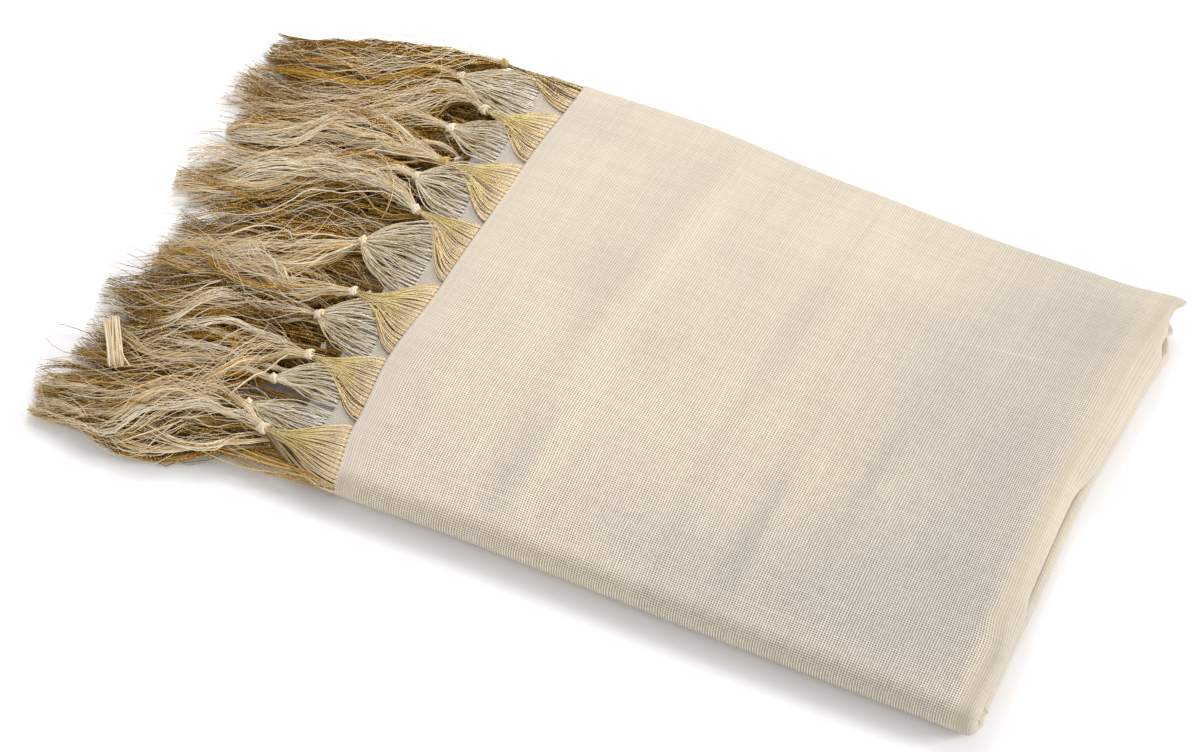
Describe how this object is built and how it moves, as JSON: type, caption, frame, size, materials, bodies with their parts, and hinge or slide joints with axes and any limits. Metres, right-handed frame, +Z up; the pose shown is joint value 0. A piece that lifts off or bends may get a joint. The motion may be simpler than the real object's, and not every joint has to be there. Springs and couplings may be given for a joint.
{
  "type": "dupatta",
  "caption": "Long woven dupatta folded flat into a rectangular packet, with the knotted tassel fringe of both ends laid out at one side; rests flat on a surface.",
  "frame": {"origin": "middle of the folded packet's flat underside, on the surface it rests on", "axes": "+X towards the folded ends, with the fringe at -X; -Y towards the long rounded fold; +Z up"},
  "size_m": [0.4326, 0.2674, 0.0175],
  "materials": {
    "cloth": "plain weave with slubs, soft tissue sheen",
    "inner_cloth": "stacked plain-weave layers, matt at the edges",
    "gold_thread": "twisted gold thread, satin glints",
    "cream_thread": "soft twisted cream thread",
    "lower_thread": "loose golden brown thread"
  },
  "bodies": {
    "root": {"outer_layer": "cloth", "inner_layers": "inner_cloth", "far_end_edge": "cloth", "gold_tassel_1": "gold_thread", "gold_tassel_2": "gold_thread", "gold_tassel_3": "gold_thread", "gold_tassel_4": "gold_thread", "gold_tassel_5": "gold_thread", "gold_tassel_6": "gold_thread", "gold_tassel_7": "gold_thread", "cream_tassel_1": "cream_thread", "cream_tassel_2": "cream_thread", "cream_tassel_3": "cream_thread", "cream_tassel_4": "cream_thread", "cream_tassel_5": "cream_thread", "cream_tassel_6": "cream_thread", "cream_tassel_7": "cream_thread", "lower_tassel_1": "lower_thread", "lower_tassel_2": "lower_thread", "lower_tassel_3": "lower_thread", "lower_tassel_4": "lower_thread", "lower_tassel_5": "lower_thread", "lower_tassel_6": "lower_thread", "lower_tassel_7": "lower_thread"}
  },
  "joints": []
}
